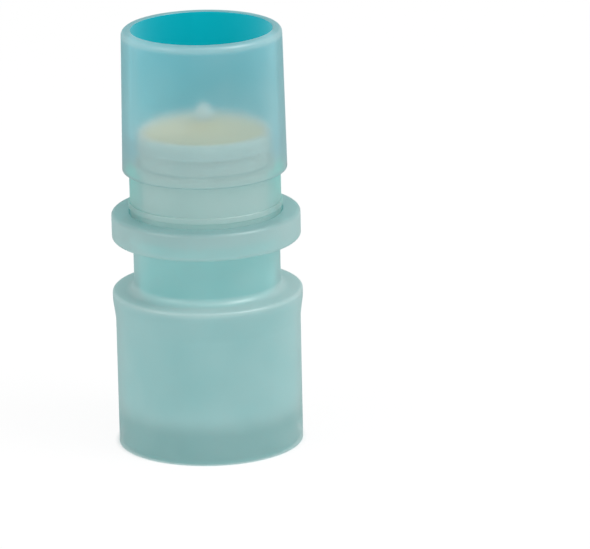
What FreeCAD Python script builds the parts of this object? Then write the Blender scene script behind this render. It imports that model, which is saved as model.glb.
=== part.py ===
import FreeCAD
import Part
import os

# A filter mouthpiece for spirometry, standing on its device end. Z runs up its axis from the base.
# The patient-side shell plugs into the flange of the device-side shell and traps a filter holder there.
# The holder carries a felt disc on a spoked support, and a ring clamps the felt's edge.

# Lengths along the axis, from the base to the lip
socket_length = 29.9
lower_neck_length = 9.8
flange_thickness = 5.35
upper_neck_length = 7.95
mouth_tube_length = 27.0

# Outer radii of the two shells
socket_radius = 17.4
bead_radius = 17.9
lower_neck_radius = 13.8
flange_radius = 17.75
upper_neck_radius = 14.2
tube_foot_radius = 15.45
mouth_radius = 15.0

# Walls and features of the device-side shell
socket_wall = 1.5
shoulder_wall = 1.6
lower_neck_wall = 1.5
bead_height = 1.9
bead_flare = 3.8
bead_blend = 4.0
socket_lead_in = 0.5
flange_floor = 1.6
flange_edge_round = 0.8
flange_lead_in = 0.3
bead_edge_round = 0.6
shoulder_cove = 1.6
inner_corner_round = 0.8

# Walls and features of the patient-side shell
mouth_wall = 1.8
step_wall = 1.5
neck_ring_radius = 14.5
neck_ring_height = 1.3
neck_ring_clear = 0.8
neck_ring_round = 0.25
lip_outer_round = 1.1
lip_inner_round = 0.4
step_edge_round = 0.3

# Filter holder: a sleeve with a spoked support across its top
sleeve_radius = 12.35
sleeve_wall = 1.15
holder_foot_height = 1.2
disc_plane_above_flange = 15.45
support_height = 1.8
spoke_count = 6
spoke_width = 1.1
spoke_taper = 0.25
hub_radius = 2.9
hub_drop = 1.2
support_ring_radius = 7.4
support_ring_width = 0.9
post_radius = 2.1
post_height = 4.9
post_nose_height = 1.7
post_draft = 0.2
post_tip_radius = 0.9
post_tip_round = 0.6

# Felt disc: its edge is squeezed thin under the ring, its middle is drawn up where the post went through
felt_edge_thickness = 1.0
felt_middle_thickness = 1.6
felt_slope_width = 0.9
felt_tent_height = 2.4
felt_tent_waist = 3.9
felt_tent_radius = 7.0

# Retaining ring: a cap over the felt's edge and the sleeve's rim
ring_opening_radius = 11.35
ring_wall = 0.65
ring_lip_thickness = 0.6
ring_skirt_height = 1.2
ring_edge_round = 0.25

# Clearances
sleeve_gap = 0.05
joint_gap = 0.05
post_gap = 0.05

# Heights worked out from the lengths above
flange_bottom = socket_length + lower_neck_length
flange_top = flange_bottom + flange_thickness
step = flange_top + upper_neck_length
lip = step + mouth_tube_length
holder_seat = flange_bottom + flange_floor
neck_end = holder_seat + holder_foot_height
disc_plane = flange_top + disc_plane_above_flange
support_top = disc_plane - felt_middle_thickness

# Radii worked out from the walls and clearances above
socket_bore = socket_radius - socket_wall
lower_neck_bore = lower_neck_radius - lower_neck_wall
joint_bore = upper_neck_radius + joint_gap
sleeve_bore = sleeve_radius - sleeve_wall
upper_neck_bore = sleeve_radius + sleeve_gap
ring_skirt_bore = sleeve_radius + sleeve_gap

AXIS = FreeCAD.Vector(0, 0, 1)
BASE = FreeCAD.Vector(0, 0, 0)


def turned(outline):
    """Revolve a closed outline of (radius, height) corners about the axis."""
    corners = [FreeCAD.Vector(radius, 0, height) for radius, height in outline]
    face = Part.Face(Part.makePolygon(corners + corners[:1]))
    return face.revolve(BASE, AXIS, 360)


def rounded(solid, radius, height, size):
    """Round the full circular edge that lies at this radius and height."""
    chosen = [
        edge for edge in solid.Edges
        if isinstance(edge.Curve, Part.Circle)
        and abs(edge.Curve.Radius - radius) < 1e-4
        and abs(edge.Curve.Center.z - height) < 1e-4
    ]
    return solid.makeFillet(size, chosen)


def ring_of(outer, inner, height, bottom):
    """A plain ring standing on the given height."""
    base = FreeCAD.Vector(0, 0, bottom)
    return Part.makeCylinder(outer, height, base).cut(Part.makeCylinder(inner, height, base))


def save(name, solid):
    """Write one clean solid to its own file."""
    solid.removeSplitter().exportStep("parts/" + name + ".step")


def mouth_tube():
    """Patient side: a slightly conical tube, stepped in to a neck that plugs into the flange."""
    step_top = step + step_wall
    taper = (tube_foot_radius - mouth_radius) / mouth_tube_length
    outer_at_step_top = tube_foot_radius - taper * step_wall
    ring_bottom = flange_top + neck_ring_clear
    ring_top = ring_bottom + neck_ring_height
    outline = [
        (upper_neck_bore, neck_end),
        (upper_neck_radius, neck_end),
        (upper_neck_radius, ring_bottom),
        (neck_ring_radius, ring_bottom),
        (neck_ring_radius, ring_top),
        (upper_neck_radius, ring_top),
        (upper_neck_radius, step),
        (tube_foot_radius, step),
        (mouth_radius, lip),
        (mouth_radius - mouth_wall, lip),
        (outer_at_step_top - mouth_wall, step_top),
        (upper_neck_bore, step_top),
    ]
    shell = turned(outline)
    shell = rounded(shell, mouth_radius, lip, lip_outer_round)
    shell = rounded(shell, mouth_radius - mouth_wall, lip, lip_inner_round)
    shell = rounded(shell, tube_foot_radius, step, step_edge_round)
    shell = rounded(shell, upper_neck_radius, step, step_edge_round)
    shell = rounded(shell, neck_ring_radius, ring_top, neck_ring_round)
    shell = rounded(shell, neck_ring_radius, ring_bottom, neck_ring_round)
    shell = rounded(shell, outer_at_step_top - mouth_wall, step_top, inner_corner_round)
    return shell


def device_socket():
    """Device side: a socket for the spirometer's port, a neck, and a flange that takes the other shell."""
    bead_bottom = socket_length - bead_height
    ceiling = socket_length - shoulder_wall
    outline = [
        (socket_bore + socket_lead_in, 0),
        (socket_radius, 0),
        (socket_radius, bead_bottom - bead_flare),
        (bead_radius, bead_bottom),
        (bead_radius, socket_length),
        (lower_neck_radius, socket_length),
        (lower_neck_radius, flange_bottom),
        (flange_radius, flange_bottom),
        (flange_radius, flange_top),
        (joint_bore + flange_lead_in, flange_top),
        (joint_bore, flange_top - flange_lead_in),
        (joint_bore, holder_seat),
        (lower_neck_bore, holder_seat),
        (lower_neck_bore, ceiling),
        (socket_bore, ceiling),
        (socket_bore, socket_lead_in),
    ]
    shell = turned(outline)
    shell = rounded(shell, socket_radius, bead_bottom - bead_flare, bead_blend)
    shell = rounded(shell, bead_radius, bead_bottom, bead_blend)
    shell = rounded(shell, bead_radius, socket_length, bead_edge_round)
    shell = rounded(shell, lower_neck_radius, socket_length, shoulder_cove)
    shell = rounded(shell, lower_neck_radius, flange_bottom, inner_corner_round)
    shell = rounded(shell, flange_radius, flange_bottom, flange_edge_round)
    shell = rounded(shell, flange_radius, flange_top, flange_edge_round)
    return shell


def spoke(angle):
    """One arm of the support, narrower at its lower edge so that it leaves the mould."""
    half_top = spoke_width / 2
    half_bottom = half_top - spoke_taper
    bottom = support_top - support_height
    section = [
        FreeCAD.Vector(0, -half_bottom, bottom),
        FreeCAD.Vector(0, half_bottom, bottom),
        FreeCAD.Vector(0, half_top, support_top),
        FreeCAD.Vector(0, -half_top, support_top),
    ]
    face = Part.Face(Part.makePolygon(section + section[:1]))
    arm = face.extrude(FreeCAD.Vector(sleeve_bore + sleeve_wall / 2, 0, 0))
    arm.rotate(BASE, AXIS, angle)
    return arm


def locating_post():
    """The hub under the felt and the blunt post that stands up through it."""
    hub_bottom = support_top - support_height - hub_drop
    post_top = disc_plane + post_height
    post = turned([
        (0, hub_bottom),
        (hub_radius - hub_drop / 2, hub_bottom),
        (hub_radius, hub_bottom + hub_drop),
        (hub_radius, support_top),
        (post_radius, support_top),
        (post_radius - post_draft, post_top - post_nose_height),
        (post_tip_radius, post_top),
        (0, post_top),
    ])
    return rounded(post, post_tip_radius, post_top, post_tip_round)


def filter_holder():
    """Sleeve with a clamped foot, and a spoked support with its hub across the top."""
    sleeve = turned([
        (sleeve_bore, holder_seat),
        (upper_neck_radius, holder_seat),
        (upper_neck_radius, neck_end),
        (sleeve_radius, neck_end),
        (sleeve_radius, support_top),
        (sleeve_bore, support_top),
    ])
    support_bottom = support_top - support_height
    middle_ring = ring_of(
        support_ring_radius, support_ring_radius - support_ring_width, support_height, support_bottom)
    arms = [spoke(360 / spoke_count * index) for index in range(spoke_count)]
    return sleeve.multiFuse([middle_ring, locating_post()] + arms)


def filter_disc():
    """Round felt pad with a thin squeezed edge and a low tent round the hole for the post."""
    hole = post_radius + post_gap
    waist_rise = felt_tent_height / 3
    return turned([
        (hole, support_top),
        (sleeve_radius, support_top),
        (sleeve_radius, support_top + felt_edge_thickness),
        (ring_opening_radius, support_top + felt_edge_thickness),
        (ring_opening_radius - felt_slope_width, disc_plane),
        (felt_tent_radius, disc_plane),
        (felt_tent_waist, disc_plane + waist_rise),
        (hole, disc_plane + felt_tent_height),
    ])


def retaining_ring():
    """Cap that presses the felt's edge onto the sleeve's rim."""
    lip_bottom = support_top + felt_edge_thickness
    lip_top = lip_bottom + ring_lip_thickness
    ring_radius = ring_skirt_bore + ring_wall
    ring = turned([
        (ring_opening_radius, lip_bottom),
        (ring_skirt_bore, lip_bottom),
        (ring_skirt_bore, support_top - ring_skirt_height),
        (ring_radius, support_top - ring_skirt_height),
        (ring_radius, lip_top),
        (ring_opening_radius, lip_top),
    ])
    ring = rounded(ring, ring_radius, lip_top, ring_edge_round)
    return rounded(ring, ring_opening_radius, lip_top, ring_edge_round)


os.makedirs("parts", exist_ok=True)
save("mouth_tube", mouth_tube())
save("device_socket", device_socket())
save("filter_holder", filter_holder())
save("filter_disc", filter_disc())
save("retaining_ring", retaining_ring())
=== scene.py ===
import bpy
import math
from mathutils import Matrix, Vector


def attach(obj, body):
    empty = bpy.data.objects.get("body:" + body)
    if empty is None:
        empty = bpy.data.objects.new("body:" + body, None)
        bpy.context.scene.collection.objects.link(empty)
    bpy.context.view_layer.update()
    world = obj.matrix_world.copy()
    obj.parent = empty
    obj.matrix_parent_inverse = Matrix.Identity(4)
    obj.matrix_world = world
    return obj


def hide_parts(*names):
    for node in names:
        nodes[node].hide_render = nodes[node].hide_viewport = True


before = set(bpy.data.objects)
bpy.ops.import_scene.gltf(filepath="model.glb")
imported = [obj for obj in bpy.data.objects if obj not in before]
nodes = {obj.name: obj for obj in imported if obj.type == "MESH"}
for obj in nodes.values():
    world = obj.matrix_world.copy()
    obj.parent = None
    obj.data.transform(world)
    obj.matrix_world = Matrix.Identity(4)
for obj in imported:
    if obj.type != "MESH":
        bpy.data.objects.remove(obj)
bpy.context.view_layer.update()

# Sizes in millimetres, the same as in the solids
MM = 0.001
LIP_HEIGHT = 80.0
MOUTH_RADIUS = 15.0
TUBE_FOOT_RADIUS = 15.45
STEP_HEIGHT = 53.0
MOUTH_WALL = 1.8
FLANGE_TOP = 45.05
SHOULDER_TOP = 29.9

# Radii in millimetres that part a wall's inside from its outside, and its ledge or thin neck from the rest
UPPER_NECK_MIDDLE = 13.3
LOWER_NECK_MIDDLE = 13.2
SOCKET_MIDDLE = 16.6
LEDGE_RADIUS = 15.3
THIN_NECK_RADIUS = 14.0

# Grain of each surface, in millimetres
FELT_FIBRE = 0.35
SPARK_GRAIN = 0.25
FLOW_MARK = 7.0
HOLDER_FLOW_MARK = 2.5

# The table is in the mouthpiece's shade within the first radius, and fully bright beyond the second
TABLE_SHADE_RADIUS = 17.0
TABLE_BRIGHT_RADIUS = 18.5

# Every lamp is aimed at this height on the axis
LAMP_AIM_HEIGHT = 45.0

# The scattered veil of the rough outside, and the tint of the light that comes through a wall
MILK = "#DCE4E2"
LIGHT_THROUGH_WALL = "#DAECEC"

# The real plastic bends light by 1.49, but the wall's two faces nearly undo each other's bending.
# What counts is the blur of the rough outside, so a small bend with a strong roughness stands for both.
WALL_BEND = 1.08
WALL_BLUR = 0.75
OUTER_GLOSS = 0.06
INNER_GLOSS = 0.008
# Share of milk painted into the inside's colour where it is seen edge on, a painted sheen
INNER_PAINTED_SHEEN = 0.25
WALL_END_SHADE = 0.6
LIGHT_PAST_OUTSIDE = 0.85
LIGHT_PAST_INSIDE = 0.6
OUTER_ROUGHNESS = 0.36

# Felt pad, as (radius, height) steps from its hole over the top, round the rim and back underneath
FELT_UNDERSIDE = 58.9
FELT_SIDES = 72
FELT_FREE_RADIUS = 10.9
FELT_UNEVENNESS = 0.05
FELT_STEPS = [
    (2.02, 62.8), (2.4, 62.3), (3.0, 61.8), (3.9, 61.3), (5.0, 60.88), (6.3, 60.64), (7.6, 60.56),
    (9.0, 60.52), (9.9, 60.48), (10.45, 60.36), (10.9, 60.15), (11.3, 59.95), (11.8, 59.88), (12.3, 59.88),
    (12.34, 59.4), (12.3, 58.92), (11.0, 58.9), (8.0, 58.9), (5.0, 58.9), (2.2, 58.9), (2.16, 60.4),
    (2.09, 61.6), (2.02, 62.8),
]

# Camera: a long lens, looking down on the mouthpiece from the front
CAMERA_TARGET = Vector((16.474, -10.721, 35.0)) * MM
CAMERA_DISTANCE = 1000.0 * MM
CAMERA_TILT_DOWN = 16.466
CAMERA_ROLL = -1.156
CAMERA_LENS = 327.8


def srgb(code):
    """Turn a hex colour as seen on screen into the linear colour that shading uses."""
    values = [int(code[i:i + 2], 16) / 255 for i in (1, 3, 5)]
    linear = [v / 12.92 if v <= 0.04045 else ((v + 0.055) / 1.055) ** 2.4 for v in values]
    return (*linear, 1.0)


def new_material(name):
    """An empty node material and its output node."""
    material = bpy.data.materials.new(name)
    material.use_nodes = True
    tree = material.node_tree
    tree.nodes.clear()
    output = tree.nodes.new("ShaderNodeOutputMaterial")
    return material, tree, output


def add_node(tree, kind, settings=None, **inputs):
    """Add one node; inputs are plain values, or the output sockets that feed them."""
    node = tree.nodes.new("ShaderNode" + kind)
    for name, value in (settings or {}).items():
        setattr(node, name, value)
    for name, value in inputs.items():
        socket = node.inputs[int(name[1:])] if name[0] == "_" else node.inputs[name.replace("_", " ")]
        if isinstance(value, bpy.types.NodeSocket):
            tree.links.new(value, socket)
        else:
            socket.default_value = value
    return node


def math_of(tree, operation, first, second=0.0, third=0.0, clamp=False):
    """One sum; returns its result."""
    settings = {"operation": operation, "use_clamp": clamp}
    return add_node(tree, "Math", settings, _0=first, _1=second, _2=third).outputs[0]


def ramp_between(tree, value, low, high, smooth=True):
    """0 below low, 1 above high; low may be above high to turn it round."""
    settings = {"interpolation_type": "SMOOTHSTEP" if smooth else "LINEAR", "clamp": True}
    node = add_node(tree, "MapRange", settings, Value=value)
    node.inputs["From Min"].default_value = low
    node.inputs["From Max"].default_value = high
    return node.outputs[0]


def mixed_value(tree, factor, first, second):
    """Blend two numbers."""
    return add_node(tree, "Mix", {"data_type": "FLOAT"}, _0=factor, _2=first, _3=second).outputs[0]


def mixed_colour(tree, factor, first, second):
    """Blend two colours."""
    node = add_node(tree, "Mix", {"data_type": "RGBA"})
    for socket, value in ((node.inputs[0], factor), (node.inputs[6], first), (node.inputs[7], second)):
        if isinstance(value, bpy.types.NodeSocket):
            tree.links.new(value, socket)
        else:
            socket.default_value = value
    return node.outputs[2]


def place_on_part(tree):
    """Object coordinates, height and distance from the axis, in metres."""
    place = add_node(tree, "TexCoord").outputs["Object"]
    split = add_node(tree, "SeparateXYZ", Vector=place)
    x, y, z = split.outputs
    across = math_of(tree, "MULTIPLY", x, x)
    radius = math_of(tree, "SQRT", math_of(tree, "MULTIPLY_ADD", y, y, across))
    return place, z, radius


def slant(tree):
    """0 where the surface faces the eye, 1 where it is seen edge on."""
    return add_node(tree, "LayerWeight", Blend=0.5).outputs["Facing"]


def frosted_polypropylene(name, veil, haze, milk, deep, shade, wall_middle, inside_from, inside_to):
    """Aqua polypropylene, injection moulded in a cavity with a fine spark-eroded outside.

    To the eye the rough outside blurs what lies behind it and scatters a thin milky veil, thicker
    where the wall is seen edge on. The polished inside shows the deep colour of the plastic. From
    within the wall it is hazy or clear, so that the eye sees in through it, and where it would send
    the eye back into the wall it shows the deep colour again. Light comes in through every wall,
    unbent, and takes on some of its colour.
    """
    material, tree, output = new_material(name)
    place, height, radius = place_on_part(tree)
    inside = math_of(tree, "LESS_THAN", radius, wall_middle(tree, height))
    inside = math_of(tree, "MULTIPLY", inside, math_of(tree, "GREATER_THAN", height, inside_from * MM))
    inside = math_of(tree, "MULTIPLY", inside, math_of(tree, "LESS_THAN", height, inside_to * MM))
    from_within = add_node(tree, "NewGeometry").outputs["Backfacing"]
    path = add_node(tree, "LightPath")
    lighting = math_of(tree, "MAXIMUM", path.outputs["Is Shadow Ray"], path.outputs["Is Diffuse Ray"])
    to_the_eye = math_of(tree, "SUBTRACT", 1.0, lighting)

    flow = add_node(tree, "TexNoise", Vector=place, Scale=1 / (FLOW_MARK * MM), Detail=1.0).outputs[0]
    uneven = math_of(tree, "MULTIPLY_ADD", flow, 0.08, -0.04)
    veiled = math_of(tree, "ADD", veil(tree, height), uneven, clamp=True)
    body_cover = math_of(tree, "MULTIPLY_ADD", lighting, -LIGHT_PAST_OUTSIDE, 1.0)
    outside = mixed_value(tree, from_within, veiled, body_cover)
    sent_back = math_of(tree, "GREATER_THAN", add_node(tree, "Fresnel", IOR=WALL_BEND).outputs[0], 0.5)
    hazed = math_of(tree, "MAXIMUM", math_of(tree, "MULTIPLY", sent_back, to_the_eye), haze(tree, height))
    bore_seen = mixed_value(tree, from_within, 1.0, hazed)
    bore_lit = math_of(tree, "MULTIPLY_ADD", lighting, -LIGHT_PAST_INSIDE, 1.0)
    bore = math_of(tree, "MULTIPLY", bore_seen, bore_lit)
    cover = mixed_value(tree, inside, outside, bore)

    own_colour = math_of(tree, "MAXIMUM", inside, from_within)
    # Painted sheen: milk mixed into the inside's colour where it is seen edge on
    painted_sheen = math_of(tree, "MULTIPLY", math_of(tree, "POWER", slant(tree), 2.0), INNER_PAINTED_SHEEN)
    within = mixed_colour(tree, painted_sheen, deep(tree, height, radius), srgb(milk))
    wall_end = math_of(tree, "MULTIPLY", from_within, math_of(tree, "SUBTRACT", 1.0, inside))
    end_shade = math_of(tree, "MULTIPLY", wall_end, WALL_END_SHADE)
    within = mixed_colour(tree, end_shade, within, shade(tree, height))
    colour = mixed_colour(tree, own_colour, srgb(milk), within)
    grain = add_node(tree, "TexNoise", Vector=place, Scale=1 / (SPARK_GRAIN * MM), Detail=2.0)
    bump = add_node(tree, "Bump", Height=grain.outputs[0], Strength=0.15, Distance=0.02 * MM).outputs[0]
    plastic = add_node(tree, "BsdfDiffuse", Color=colour, Normal=bump)
    glow = add_node(tree, "BsdfTranslucent", Color=colour)
    share = math_of(tree, "MULTIPLY", own_colour, 0.5)
    body = add_node(tree, "MixShader", _0=share, _1=plastic.outputs[0], _2=glow.outputs[0])

    frosted = add_node(tree, "BsdfRefraction", Color=(1, 1, 1, 1), IOR=WALL_BEND, Roughness=WALL_BLUR)
    polished = add_node(tree, "BsdfRefraction", Color=(1, 1, 1, 1), IOR=WALL_BEND, Roughness=0.0)
    seen_through = add_node(tree, "MixShader", _0=from_within, _1=frosted.outputs[0], _2=polished.outputs[0])
    lit_through = add_node(tree, "BsdfTransparent", Color=srgb(LIGHT_THROUGH_WALL))
    clear = add_node(tree, "MixShader", _0=lighting, _1=seen_through.outputs[0], _2=lit_through.outputs[0])
    wall = add_node(tree, "MixShader", _0=cover, _1=clear.outputs[0], _2=body.outputs[0])

    gloss_share = math_of(tree, "MULTIPLY_ADD", own_colour, INNER_GLOSS - OUTER_GLOSS, OUTER_GLOSS)
    gloss = add_node(tree, "BsdfGlossy", Color=(1, 1, 1, 1), Roughness=OUTER_ROUGHNESS, Normal=bump)
    whole = add_node(tree, "MixShader", _0=gloss_share, _1=wall.outputs[0], _2=gloss.outputs[0])
    tree.links.new(whole.outputs[0], output.inputs[0])
    return material


def natural_polypropylene():
    """Uncoloured polypropylene: milky white, fainter to the eye at its edges, and lit through."""
    material, tree, output = new_material("natural_polypropylene_moulded")
    place, height, _ = place_on_part(tree)
    flow = add_node(tree, "TexNoise", Vector=place, Scale=1 / (HOLDER_FLOW_MARK * MM), Detail=2.0)
    colour = mixed_colour(tree, flow.outputs[0], srgb("#EAF3F1"), srgb("#F3F9F7"))
    plastic = add_node(tree, "BsdfDiffuse", Color=colour)
    glow = add_node(tree, "BsdfTranslucent", Color=colour)
    body = add_node(tree, "MixShader", _0=0.5, _1=plastic.outputs[0], _2=glow.outputs[0])
    edge_on = ramp_between(tree, slant(tree), 0.35, 1.0)
    cover = math_of(tree, "MULTIPLY_ADD", edge_on, -0.75, 0.95)
    post = ramp_between(tree, height, 61.0 * MM, 63.0 * MM)
    cover = math_of(tree, "MULTIPLY", cover, math_of(tree, "MULTIPLY_ADD", post, -0.35, 1.0))
    clear = add_node(tree, "BsdfTransparent", Color=(1, 1, 1, 1))
    whole = add_node(tree, "MixShader", _0=cover, _1=clear.outputs[0], _2=body.outputs[0])
    tree.links.new(whole.outputs[0], output.inputs[0])
    return material


def needled_felt():
    """Cream electret felt: short fibres needled into a soft pad."""
    material, tree, output = new_material("cream_electret_felt")
    place, _, _ = place_on_part(tree)
    fibres = add_node(tree, "TexNoise", Vector=place, Scale=1 / (FELT_FIBRE * MM), Detail=6.0, Roughness=0.7)
    colour = mixed_colour(tree, fibres.outputs[0], srgb("#BFB48E"), srgb("#D3CAA7"))
    bump = add_node(tree, "Bump", Height=fibres.outputs[0], Strength=0.6, Distance=0.1 * MM)
    felt = add_node(
        tree, "BsdfPrincipled", Base_Color=colour, Normal=bump.outputs[0], Roughness=0.95, Sheen_Weight=0.3)
    tree.links.new(felt.outputs[0], output.inputs[0])
    return material


def mouth_tube_wall_middle(tree, height):
    """Radius of the middle of the mouth tube's wall at each height, neck included."""
    taper = (TUBE_FOOT_RADIUS - MOUTH_RADIUS) / (LIP_HEIGHT - STEP_HEIGHT)
    middle = (MOUTH_RADIUS - MOUTH_WALL / 2 + taper * LIP_HEIGHT) * MM
    tube = math_of(tree, "MULTIPLY_ADD", height, -taper, middle)
    above = math_of(tree, "GREATER_THAN", height, (STEP_HEIGHT + 1.0) * MM)
    return mixed_value(tree, above, UPPER_NECK_MIDDLE * MM, tube)


def by_height(tree, height, steps):
    """A value that changes smoothly with height: steps are (height, value) pairs from the bottom up."""
    level = steps[0][1]
    for (low, _), (high, value) in zip(steps, steps[1:]):
        level = mixed_value(tree, ramp_between(tree, height, low * MM, high * MM), level, value)
    return level


def thicker_edge_on(tree, milk, extra):
    """More haze where the wall is seen edge on."""
    return math_of(tree, "MULTIPLY_ADD", ramp_between(tree, slant(tree), 0.0, 1.0), extra, milk)


def mouth_tube_veil(tree, height):
    """Thin on the tube, thicker on the bead round the neck and on the lip, where the wall is seen end on."""
    steps = [
        (45.8, 0.2), (46.2, 0.23), (46.8, 0.23), (47.2, 0.2), (56, 0.18), (76, 0.13), (78.2, 0.13),
        (79.0, 0.25), (79.6, 0.25), (79.95, 0.14)]
    return thicker_edge_on(tree, by_height(tree, height, steps), 0.08)


def mouth_tube_haze(tree, height):
    """The mouth tube's inside is clear from within the wall."""
    return 0.0


def mouth_tube_shade(tree, height):
    """Where the wall is seen from within, end on: dark in the tube, bright in the thin neck."""
    neck = ramp_between(tree, height, STEP_HEIGHT * MM, (STEP_HEIGHT - 0.1) * MM)
    return mixed_colour(tree, neck, srgb("#008E98"), srgb("#00D0C6"))


def mouth_tube_deep(tree, height, radius):
    """Deep aqua in the tube, greener in the thin neck, and painted paler on the ledge and underside of the
    step as painted light.
    """
    # Painted light: the ledge and the step's underside are painted paler
    ledge = math_of(tree, "LESS_THAN", radius, LEDGE_RADIUS * MM)
    ledge = math_of(tree, "MULTIPLY", ledge, ramp_between(tree, height, 55.6 * MM, 55.0 * MM))
    colour = mixed_colour(tree, ledge, srgb("#00B6C6"), srgb("#86BFBF"))
    neck = ramp_between(tree, height, STEP_HEIGHT * MM, (STEP_HEIGHT - 0.1) * MM)
    return mixed_colour(tree, neck, colour, srgb("#2CC0BC"))


def device_socket_veil(tree, height):
    """Thicker on the flange and the socket, thinner on the neck between them, with painted shade and light
    in its steps.
    """
    # Painted shade: thinner at the foot. The shoulder is thicker partly for its thicker plastic and partly
    # as a painted highlight. The neck's top rises as painted light over the flange's shade.
    steps = [
        (5, 0.18), (9, 0.27), (28.6, 0.27), (29.5, 0.35), (30.6, 0.35), (32, 0.23), (35, 0.23), (39.8, 0.28),
        (44.2, 0.29), (45.0, 0.20)]
    return thicker_edge_on(tree, by_height(tree, height, steps), 0.08)


def device_socket_haze(tree, height):
    """The socket hides its inside almost wholly, the flange only a little."""
    return by_height(tree, height, [(28, 0.9), (31, 0.7), (39, 0.7), (41, 0.2)])


def device_socket_deep(tree, height, radius):
    """Deep colour, darker at the foot as painted shade from the table, and brightest in the thin neck,
    partly its own colour and partly painted light over the flange's shade.
    """
    # Painted shade at the foot
    foot = ramp_between(tree, height, 9.5 * MM, 5 * MM)
    # The thin neck: partly its own colour, partly painted light over the flange's shade
    thin = math_of(
        tree, "MULTIPLY", ramp_between(tree, height, 28.5 * MM, 30 * MM),
        ramp_between(tree, height, 41.0 * MM, 39.0 * MM))
    thin = math_of(tree, "MULTIPLY", thin, math_of(tree, "LESS_THAN", radius, THIN_NECK_RADIUS * MM))
    colour = mixed_colour(tree, foot, srgb("#00B8BA"), srgb("#00A0A0"))
    return mixed_colour(tree, thin, colour, srgb("#00D2D2"))


def device_socket_shade(tree, height):
    """The thick flange and bead are paler where they are seen from within, end on."""
    return srgb("#5AA8A8")


def device_socket_wall_middle(tree, height):
    """Radius of the middle of the socket's, neck's and flange's walls at each height."""
    neck = math_of(tree, "GREATER_THAN", height, (SHOULDER_TOP - 0.8) * MM)
    return mixed_value(tree, neck, SOCKET_MIDDLE * MM, LOWER_NECK_MIDDLE * MM)


def dress(node_name, material):
    """Give a CAD node its finish."""
    mesh = nodes[node_name].data
    mesh.materials.clear()
    mesh.materials.append(material)
    for polygon in mesh.polygons:
        polygon.material_index = 0


def only(choose):
    """In edit mode: select the vertices that choose(radius, height) picks, in millimetres."""
    bpy.ops.mesh.select_all(action="DESELECT")
    bpy.ops.mesh.select_mode(type="VERT")
    bpy.ops.object.mode_set(mode="OBJECT")
    for vertex in bpy.context.active_object.data.vertices:
        x, y, z = vertex.co / MM
        vertex.select = choose(math.hypot(x, y), z)
    bpy.ops.object.mode_set(mode="EDIT")


def felt_pad():
    """The cut felt: its rim squeezed under the ring, its middle tented up round the post."""
    bpy.ops.object.select_all(action="DESELECT")
    bpy.ops.mesh.primitive_circle_add(vertices=FELT_SIDES, radius=FELT_STEPS[0][0] * MM)
    pad = bpy.context.active_object
    pad.name = "felt_pad"
    bpy.ops.object.mode_set(mode="EDIT")
    bpy.ops.mesh.select_all(action="SELECT")
    bpy.ops.transform.translate(value=(0, 0, FELT_STEPS[0][1] * MM))
    for (radius, height), (next_radius, next_height) in zip(FELT_STEPS, FELT_STEPS[1:]):
        bpy.ops.mesh.extrude_edges_move()
        share = next_radius / radius
        bpy.ops.transform.resize(value=(share, share, 1), center_override=(0, 0, 0))
        bpy.ops.transform.translate(value=(0, 0, (next_height - height) * MM))
    bpy.ops.mesh.select_all(action="SELECT")
    bpy.ops.mesh.remove_doubles(threshold=0.01 * MM)
    bpy.ops.mesh.normals_make_consistent(inside=False)
    only(lambda radius, height: radius < FELT_FREE_RADIUS and height > FELT_UNDERSIDE + 0.3)
    bpy.ops.transform.vertex_random(offset=FELT_UNEVENNESS * MM, uniform=0.2, normal=1.0, seed=7)
    bpy.ops.object.mode_set(mode="OBJECT")
    bpy.ops.object.modifier_add(type="SUBSURF")
    smooth = pad.modifiers[-1]
    smooth.levels = smooth.render_levels = 1
    bpy.ops.object.modifier_apply(modifier=smooth.name)
    bpy.ops.object.shade_smooth()
    pad.data.materials.append(needled_felt())
    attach(pad, "root")
    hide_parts("filter_disc")


mouth_plastic = frosted_polypropylene(
    "aqua_polypropylene_mouth", mouth_tube_veil, mouth_tube_haze, MILK, mouth_tube_deep,
    mouth_tube_shade, mouth_tube_wall_middle, 0.0, LIP_HEIGHT - 0.2)
socket_plastic = frosted_polypropylene(
    "aqua_polypropylene_socket", device_socket_veil, device_socket_haze, MILK, device_socket_deep,
    device_socket_shade, device_socket_wall_middle, 0.3, FLANGE_TOP)
holder_plastic = natural_polypropylene()
dress("mouth_tube", mouth_plastic)
dress("device_socket", socket_plastic)
dress("filter_holder", holder_plastic)
dress("retaining_ring", holder_plastic)
felt_pad()


def seen_by_eye(tree):
    """1 for what the eye sees straight, mirrored or through a wall, 0 for what only lights the part."""
    path = add_node(tree, "LightPath")
    straight = math_of(tree, "MAXIMUM", path.outputs["Is Camera Ray"], path.outputs["Is Glossy Ray"])
    return math_of(tree, "MAXIMUM", straight, path.outputs["Is Transmission Ray"])


def floor():
    """A wide white table, as bright to the eye as the dome, but plain paper under the mouthpiece."""
    bpy.ops.object.select_all(action="DESELECT")
    bpy.ops.mesh.primitive_plane_add(size=6.0, location=(0, 0, 0))
    table = bpy.context.active_object
    table.name = "table"
    material, tree, output = new_material("white_table_paper")
    paper = add_node(tree, "BsdfDiffuse", Color=(0.9, 0.9, 0.9, 1))
    tree.links.new(paper.outputs[0], output.inputs[0])
    glow = add_node(tree, "Emission", Color=(1, 1, 1, 1), Strength=1.0)
    _, _, around = place_on_part(tree)
    open_floor = ramp_between(tree, around, TABLE_SHADE_RADIUS * MM, TABLE_BRIGHT_RADIUS * MM)
    share = math_of(tree, "MULTIPLY", math_of(tree, "MULTIPLY", seen_by_eye(tree), open_floor), 0.9)
    blend = add_node(tree, "MixShader", _0=share, _1=paper.outputs[0], _2=glow.outputs[0])
    tree.links.new(blend.outputs[0], output.inputs[0])
    table.data.materials.append(material)


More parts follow.
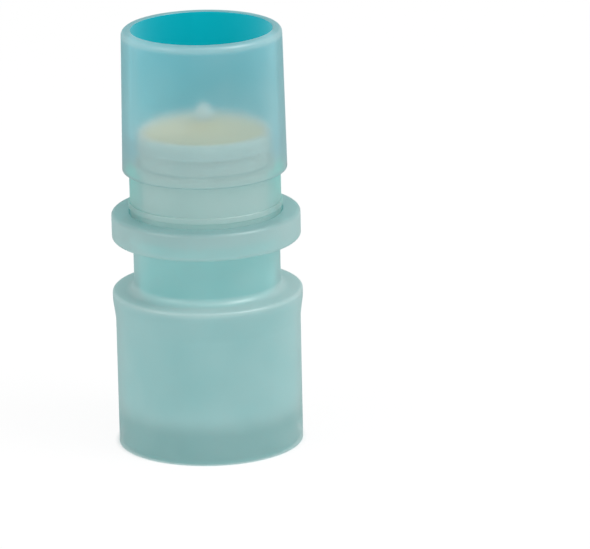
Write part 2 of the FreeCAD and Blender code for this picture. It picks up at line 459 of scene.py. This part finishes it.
def daylight():
    """An even white dome."""
    world = bpy.data.worlds.new("white_dome")
    bpy.context.scene.world = world
    world.use_nodes = True
    tree = world.node_tree
    tree.nodes.clear()
    output = tree.nodes.new("ShaderNodeOutputWorld")
    dome = add_node(tree, "Background", Color=(1, 1, 1, 1), Strength=0.80)
    white = add_node(tree, "Background", Color=(1, 1, 1, 1), Strength=1.0)
    blend = add_node(tree, "MixShader", _0=seen_by_eye(tree), _1=dome.outputs[0], _2=white.outputs[0])
    tree.links.new(blend.outputs[0], output.inputs[0])


def softbox(name, place, size, power):
    """A square studio light aimed at the middle of the mouthpiece."""
    data = bpy.data.lights.new(name, "AREA")
    data.size = size
    data.energy = power
    lamp = bpy.data.objects.new(name, data)
    bpy.context.scene.collection.objects.link(lamp)
    aim = Vector((0, 0, LAMP_AIM_HEIGHT * MM)) - Vector(place)
    lamp.matrix_world = Matrix.Translation(place) @ aim.to_track_quat("-Z", "Y").to_matrix().to_4x4()


def camera():
    """The photograph's view: its tilt, its slight roll and its long lens."""
    tilt = math.radians(CAMERA_TILT_DOWN)
    roll = math.radians(CAMERA_ROLL)
    back = Vector((0, -math.cos(tilt), math.sin(tilt)))
    level = Vector((1, 0, 0))
    upright = Vector((0, math.sin(tilt), math.cos(tilt)))
    right = math.cos(roll) * level + math.sin(roll) * upright
    up = math.cos(roll) * upright - math.sin(roll) * level
    data = bpy.data.cameras.new("camera")
    data.lens = CAMERA_LENS
    data.sensor_width = 36.0
    data.sensor_fit = "HORIZONTAL"
    data.clip_end = 20.0
    lens = bpy.data.objects.new("camera", data)
    turn = Matrix((right, up, back)).transposed().to_4x4()
    lens.matrix_world = Matrix.Translation(CAMERA_TARGET + back * CAMERA_DISTANCE) @ turn
    bpy.context.scene.collection.objects.link(lens)
    bpy.context.scene.camera = lens


floor()
daylight()
softbox("key", place=(0.8, -0.38, 0.95), size=0.6, power=7.5)
softbox("top", place=(0.15, -0.4, 1.1), size=0.4, power=1.0)
softbox("fill", place=(-0.8, -0.5, 0.5), size=0.6, power=2.4)
camera()
bpy.context.scene.view_settings.view_transform = "Standard"
